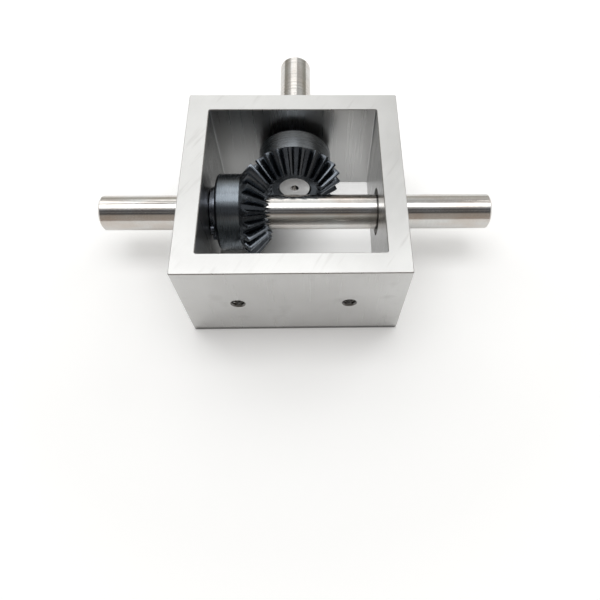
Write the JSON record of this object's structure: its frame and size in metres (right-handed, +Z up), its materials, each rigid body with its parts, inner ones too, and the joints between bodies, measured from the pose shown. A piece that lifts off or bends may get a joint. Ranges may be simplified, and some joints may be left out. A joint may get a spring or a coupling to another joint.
{
  "type": "right angle bevel gearbox",
  "caption": "Right angle bevel gearbox: an open square aluminium housing with a through shaft and a branch shaft on ball bearings, joined by equal straight bevel gears.",
  "frame": {"origin": "centre of the housing's front face, midway between its two tapped holes", "axes": "+X along the through shaft to the right, +Y along the branch shaft out of the back wall, +Z up"},
  "size_m": [0.1125, 0.09, 0.032],
  "materials": {
    "housing": "satin milled",
    "shaft": "ground",
    "gear": "blue-black oxide, turned hub",
    "grub_screw": "black oxide",
    "circlip": "phosphated spring steel",
    "sleeve": "turned",
    "bearing_ring": "ground bearing steel",
    "bearing_ball": "polished",
    "bearing_cage": "pressed",
    "bearing_shield": "pressed"
  },
  "bodies": {
    "housing": {"housing": "housing", "left_bearing_outer_ring": "bearing_ring", "left_bearing_inner_shield": "bearing_shield", "left_bearing_outer_shield": "bearing_shield", "right_bearing_outer_ring": "bearing_ring", "right_bearing_inner_shield": "bearing_shield", "right_bearing_outer_shield": "bearing_shield", "rear_bearing_outer_ring": "bearing_ring", "rear_bearing_inner_shield": "bearing_shield", "rear_bearing_outer_shield": "bearing_shield"},
    "through_shaft": {"through_shaft": "shaft", "through_gear": "gear", "through_grub_screw": "grub_screw", "through_inner_circlip": "circlip", "through_washer": "sleeve", "through_bush": "sleeve", "left_outer_circlip": "circlip", "right_outer_circlip": "circlip", "left_bearing_inner_ring": "bearing_ring", "right_bearing_inner_ring": "bearing_ring"},
    "branch_shaft": {"branch_shaft": "shaft", "branch_gear": "gear", "branch_grub_screw": "grub_screw", "branch_inner_circlip": "circlip", "branch_washer": "sleeve", "branch_bush": "sleeve", "rear_outer_circlip": "circlip", "rear_bearing_inner_ring": "bearing_ring"},
    "left_ball_cage": {"left_bearing_cage": "bearing_cage", "left_bearing_balls": "bearing_ball"},
    "right_ball_cage": {"right_bearing_cage": "bearing_cage", "right_bearing_balls": "bearing_ball"},
    "rear_ball_cage": {"rear_bearing_cage": "bearing_cage", "rear_bearing_balls": "bearing_ball"}
  },
  "joints": [
    {"name": "through_shaft_spin", "type": "hinge", "parent": "housing", "child": "through_shaft", "pos_m": [0, 0.03, 0], "axis": [1, 0, 0], "continuous": true},
    {"name": "branch_shaft_spin", "type": "hinge", "parent": "housing", "child": "branch_shaft", "pos_m": [0, 0.03, 0], "axis": [0, 1, 0], "continuous": true},
    {"name": "left_cage_spin", "type": "hinge", "parent": "housing", "child": "left_ball_cage", "pos_m": [-0.027, 0.03, 0], "axis": [1, 0, 0], "continuous": true},
    {"name": "right_cage_spin", "type": "hinge", "parent": "housing", "child": "right_ball_cage", "pos_m": [0.027, 0.03, 0], "axis": [1, 0, 0], "continuous": true},
    {"name": "rear_cage_spin", "type": "hinge", "parent": "housing", "child": "rear_ball_cage", "pos_m": [0, 0.057, 0], "axis": [0, 1, 0], "continuous": true}
  ],
  "couplings": [
    {"joint": "branch_shaft_spin", "follows": "through_shaft_spin", "ratio": 1},
    {"joint": "left_cage_spin", "follows": "through_shaft_spin", "ratio": 0.44},
    {"joint": "right_cage_spin", "follows": "through_shaft_spin", "ratio": 0.44},
    {"joint": "rear_cage_spin", "follows": "through_shaft_spin", "ratio": 0.44}
  ]
}
